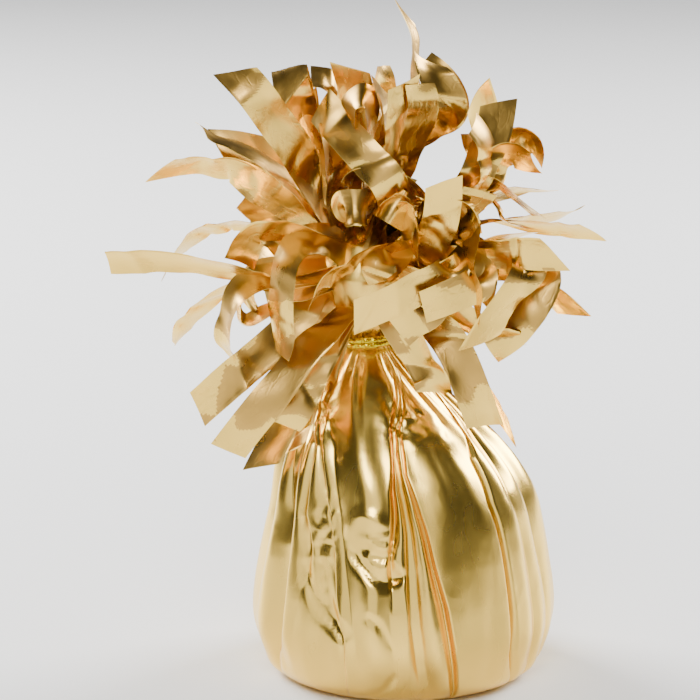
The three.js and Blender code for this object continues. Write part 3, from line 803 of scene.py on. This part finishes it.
def tie_mesh(s):
    """Wire with metallic wrapping, wound round the neck and twisted at the back"""
    bm = bmesh.new()
    radius = s.neck_radius + TIE_GAP * MM + s.tie_wire / 2
    pitch = TIE_PITCH * s.tie_wire
    path = []
    for i in range(TIE_STEPS * s.tie_turns + 1):
        turn = i / TIE_STEPS
        a = TIE_START + 2 * math.pi * turn
        rise = pitch * (turn - s.tie_turns / 2) * TIE_PITCH
        out = radius + 0.15 * MM * math.sin(5 * a) + 0.1 * MM * math.sin(11 * a)
        path.append(Vector((
            s.neck_lean + out * math.sin(a), -out * math.cos(a),
            s.neck_height + rise + 0.12 * MM * math.sin(3 * a))))
    rod(bm, path, s.tie_wire / 2)
    away = TAIL_WAY.normalized()
    beside = Vector((-away.y, away.x, 0))
    upright = Vector((0, 0, 1))
    neck = Vector((s.neck_lean, 0, s.neck_height))
    for start in (0, math.pi):
        tail = []
        for t in np.linspace(0, 1, TAIL_STEPS):
            spin = start + TAIL_SPIN * t
            side = beside * math.cos(spin) + upright * math.sin(spin)
            centre = neck + away * (radius + TAIL_LENGTH * MM * t) + upright * (1.2 * MM * t * t)
            tail.append(centre + side * 0.45 * s.tie_wire * (0.6 + 0.4 * min(1, 4 * t)))
        rod(bm, tail, 0.42 * s.tie_wire)
    bmesh.ops.recalc_face_normals(bm, faces=bm.faces)
    mesh = bpy.data.meshes.new("tie_winding")
    bm.to_mesh(mesh)
    bm.free()
    return mesh


def shader(name):
    """A new material with its nodes, its links and its main shader"""
    material = bpy.data.materials.new(name)
    material.use_nodes = True
    nodes, links = material.node_tree.nodes, material.node_tree.links
    return material, nodes, links, nodes["Principled BSDF"]


def settle(node, values):
    """Sets a node's sockets by name"""
    for name, value in values.items():
        node.inputs[name].default_value = value


def texture(nodes, links, kind, source, scale, **settings):
    """A pattern node read at one scale, with its detail or feature set"""
    node = nodes.new(kind)
    for key, value in settings.items():
        if key in node.inputs:
            node.inputs[key].default_value = value
        else:
            setattr(node, key, value)
    node.inputs["Scale"].default_value = scale
    links.new(source, node.inputs["Vector"])
    return node


def remap(nodes, links, source, low, high, to_low=0.0, to_high=1.0):
    """A value's range from low to high, spread over another range"""
    node = nodes.new("ShaderNodeMapRange")
    settle(node, {"From Min": low, "From Max": high, "To Min": to_low, "To Max": to_high})
    links.new(source, node.inputs["Value"])
    return node.outputs["Result"]


def math_node(nodes, links, operation, a, b, c=None):
    """The result of a sum on sockets or plain numbers"""
    node = nodes.new("ShaderNodeMath")
    node.operation = operation
    for slot, value in zip(node.inputs, (a, b, c)):
        if isinstance(value, (int, float)):
            slot.default_value = value
        elif value is not None:
            links.new(value, slot)
    return node.outputs["Value"]


def foil_material(name, rgb, rough, along_run, size, stretch, bump):
    """Metallised film: one even colour, satin and glossy patches, and creases here and there"""
    material, nodes, links, skin = shader(name)
    settle(skin, {"Base Color": (*rgb, 1), "Metallic": 1})
    where = nodes.new("ShaderNodeTexCoord")
    place = nodes.new("ShaderNodeMapping")
    place.inputs["Scale"].default_value = stretch
    links.new(where.outputs["UV" if along_run else "Object"], place.inputs["Vector"])
    source = place.outputs["Vector"]
    warp = texture(nodes, links, "ShaderNodeTexNoise", source, 0.6 * size, Detail=3)
    bend = nodes.new("ShaderNodeVectorMath")
    bend.operation = "MULTIPLY_ADD"
    bend.inputs[1].default_value = (0.9 / size,) * 3
    links.new(warp.outputs["Color"], bend.inputs[0])
    links.new(source, bend.inputs[2])
    crease = texture(
        nodes, links, "ShaderNodeTexVoronoi", bend.outputs["Vector"], size,
        feature="DISTANCE_TO_EDGE")
    ridge = remap(nodes, links, crease.outputs["Distance"], 0, 0.14, 1, 0)
    patches = texture(nodes, links, "ShaderNodeTexNoise", source, 0.45 * size, Detail=4)
    here = remap(nodes, links, patches.outputs["Fac"], 0.5, 0.68)
    creases = math_node(nodes, links, "MULTIPLY", ridge, here)
    ripple = texture(
        nodes, links, "ShaderNodeTexNoise", source, 1.4 * size, Detail=2, Roughness=0.4)
    relief = math_node(nodes, links, "MULTIPLY_ADD", ripple.outputs["Fac"], 0.9, creases)
    grain = texture(nodes, links, "ShaderNodeTexNoise", source, 16 * size, Detail=2)
    height = math_node(nodes, links, "MULTIPLY_ADD", grain.outputs["Fac"], 0.06, relief)
    gloss = remap(nodes, links, patches.outputs["Fac"], 0.3, 0.7, rough - 0.06, rough + 0.1)
    links.new(gloss, skin.inputs["Roughness"])
    bumps = nodes.new("ShaderNodeBump")
    settle(bumps, {"Strength": bump, "Distance": 0.15 * MM})
    links.new(height, bumps.inputs["Height"])
    links.new(bumps.outputs["Normal"], skin.inputs["Normal"])
    return material


def tie_material(rgb):
    """Bright yellow metallic wrapping whose small twisted facets sparkle"""
    material, nodes, links, skin = shader("tie_wrapping")
    settle(skin, {"Base Color": (*rgb, 1), "Metallic": 1, "Roughness": 0.2})
    where = nodes.new("ShaderNodeTexCoord")
    facets = nodes.new("ShaderNodeTexVoronoi")
    facets.inputs["Scale"].default_value = 1500
    links.new(where.outputs["Object"], facets.inputs["Vector"])
    relief = nodes.new("ShaderNodeBump")
    settle(relief, {"Strength": 0.8, "Distance": 0.25 * MM})
    links.new(facets.outputs["Distance"], relief.inputs["Height"])
    links.new(relief.outputs["Normal"], skin.inputs["Normal"])
    return material


def floor_material(rgb):
    """Matt pale floor"""
    material, _, _, skin = shader("pale_floor")
    settle(skin, {"Base Color": (*rgb, 1), "Roughness": 0.6})
    return material


def strip_materials(c):
    """The strips' bright side and duller reverse, whose darker colour is partly painted shade, made
    once for all the bunches
    """
    if "strip_front" not in bpy.data.materials:
        foil_material("strip_front", c.foil, 0.22, True, 4, (0.7, 1.6, 1), 0.3)
        # Duller reverse side, its colour darkened further as painted shade for the strips inside
        # the fringe
        foil_material("strip_reverse_painted_shade", c.reverse, 0.32, True, 4, (0.7, 1.6, 1), 0.25)
    return [bpy.data.materials[name] for name in ("strip_front", "strip_reverse_painted_shade")]


def add_piece(name, mesh, node, materials):
    """Puts a mesh in the scene in place of the solid node that it shows"""
    piece = bpy.data.objects.new(name, mesh)
    bpy.context.scene.collection.objects.link(piece)
    for material in materials:
        mesh.materials.append(material)
    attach(piece, "root")
    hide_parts(node)
    return piece


class WEIGHT_OT_wrapped_body(bpy.types.Operator):
    """Wraps the foil round the hidden load and gathers it into the neck"""

    bl_idname = "weight.wrapped_body"
    bl_label = "Wrapped body"

    def execute(self, context):
        mesh = wrapped_body(context.scene.weight_sizes)
        foil = context.scene.weight_colours.foil
        skin = foil_material("wrapped_foil", foil, 0.23, False, 140, (1, 1, 0.4), 0.35)
        add_piece("wrapped_body", mesh, WRAP_NODE, [skin])
        return {"FINISHED"}


class WEIGHT_OT_fringe(bpy.types.Operator):
    """Adds the strips that burst out on one side of the crown"""

    bl_idname = "weight.fringe"
    bl_label = "Fringe"

    side: StringProperty(name="Side", description="Which strips to add", default="top")

    def execute(self, context):
        s = context.scene.weight_sizes
        if self.side == "back":
            rows = back_points(s)
        else:
            rows = [strip_points(s, row) for row in FRINGE[self.side]]
        name = f"fringe_{self.side}"
        mesh = fringe_mesh(s, name, rows, random.Random(f"fringe {self.side}"))
        materials = strip_materials(context.scene.weight_colours)
        add_piece(name, mesh, WRAP_NODE, materials)
        return {"FINISHED"}


class WEIGHT_OT_tie(bpy.types.Operator):
    """Winds the tie round the neck"""

    bl_idname = "weight.tie"
    bl_label = "Tie"

    def execute(self, context):
        material = tie_material(context.scene.weight_colours.tie)
        mesh = tie_mesh(context.scene.weight_sizes)
        add_piece("tie_winding", mesh, TIE_NODE, [material])
        return {"FINISHED"}


class WEIGHT_OT_stage(bpy.types.Operator):
    """Sets the pale floor, the soft studio light and the camera"""

    bl_idname = "weight.stage"
    bl_label = "Stage"

    def execute(self, context):
        scene = context.scene
        bm = bmesh.new()
        bmesh.ops.create_grid(bm, x_segments=1, y_segments=1, size=FLOOR_SIZE)
        mesh = bpy.data.meshes.new("floor")
        bm.to_mesh(mesh)
        bm.free()
        mesh.materials.append(floor_material(scene.weight_colours.floor))
        floor = bpy.data.objects.new("floor", mesh)
        scene.collection.objects.link(floor)

        world = bpy.data.worlds.new("studio")
        world.use_nodes = True
        background = world.node_tree.nodes["Background"]
        settle(background, {"Color": (1, 1, 1, 1), "Strength": ROOM_LIGHT})
        scene.world = world

        for name, place, aim, size, power in LAMPS:
            light = bpy.data.lights.new(name, "AREA")
            light.size = size
            light.energy = power
            lamp = bpy.data.objects.new(name, light)
            lamp.location = place
            way = Vector(aim) - Vector(place)
            lamp.rotation_euler = way.to_track_quat("-Z", "Y").to_euler()
            scene.collection.objects.link(lamp)

        lens = bpy.data.cameras.new("camera")
        lens.lens = LENS_LENGTH
        lens.sensor_width = SENSOR_WIDTH
        lens.clip_start = 0.01
        camera = bpy.data.objects.new("camera", lens)
        camera.location = view_point()
        camera.rotation_euler = (math.radians(90) - VIEW_RISE, 0, 0)
        scene.collection.objects.link(camera)
        scene.camera = camera
        return {"FINISHED"}


class WEIGHT_PT_panel(bpy.types.Panel):
    """Lists the sizes, the colours and the pieces"""

    bl_label = "Foil Balloon Weight"
    bl_idname = "WEIGHT_PT_panel"
    bl_space_type = "VIEW_3D"
    bl_region_type = "UI"
    bl_category = "Weight"

    def draw(self, context):
        for group in (context.scene.weight_sizes, context.scene.weight_colours):
            box = self.layout.box()
            for name in group.bl_rna.properties.keys():
                if name not in ("rna_type", "name"):
                    box.prop(group, name)
        self.layout.operator("weight.wrapped_body")
        for side in SIDES:
            self.layout.operator("weight.fringe", text=f"Fringe, {side}").side = side
        self.layout.operator("weight.tie")
        self.layout.operator("weight.stage")


SIDES = [*FRINGE, "back"]
CLASSES = [
    WeightSizes, WeightColours, WEIGHT_OT_wrapped_body, WEIGHT_OT_fringe, WEIGHT_OT_tie,
    WEIGHT_OT_stage, WEIGHT_PT_panel,
]


def register():
    """Registers the classes and gives the scene its sizes and colours"""
    for cls in CLASSES:
        bpy.utils.register_class(cls)
    bpy.types.Scene.weight_sizes = PointerProperty(type=WeightSizes)
    bpy.types.Scene.weight_colours = PointerProperty(type=WeightColours)


def unregister():
    """Takes the sizes, the colours and the classes away again"""
    del bpy.types.Scene.weight_colours
    del bpy.types.Scene.weight_sizes
    for cls in reversed(CLASSES):
        bpy.utils.unregister_class(cls)


def main():
    """Builds the stage and every piece"""
    register()
    bpy.ops.weight.stage()
    bpy.ops.weight.wrapped_body()
    for side in SIDES:
        bpy.ops.weight.fringe(side=side)
    bpy.ops.weight.tie()


if __name__ == "__main__":
    main()
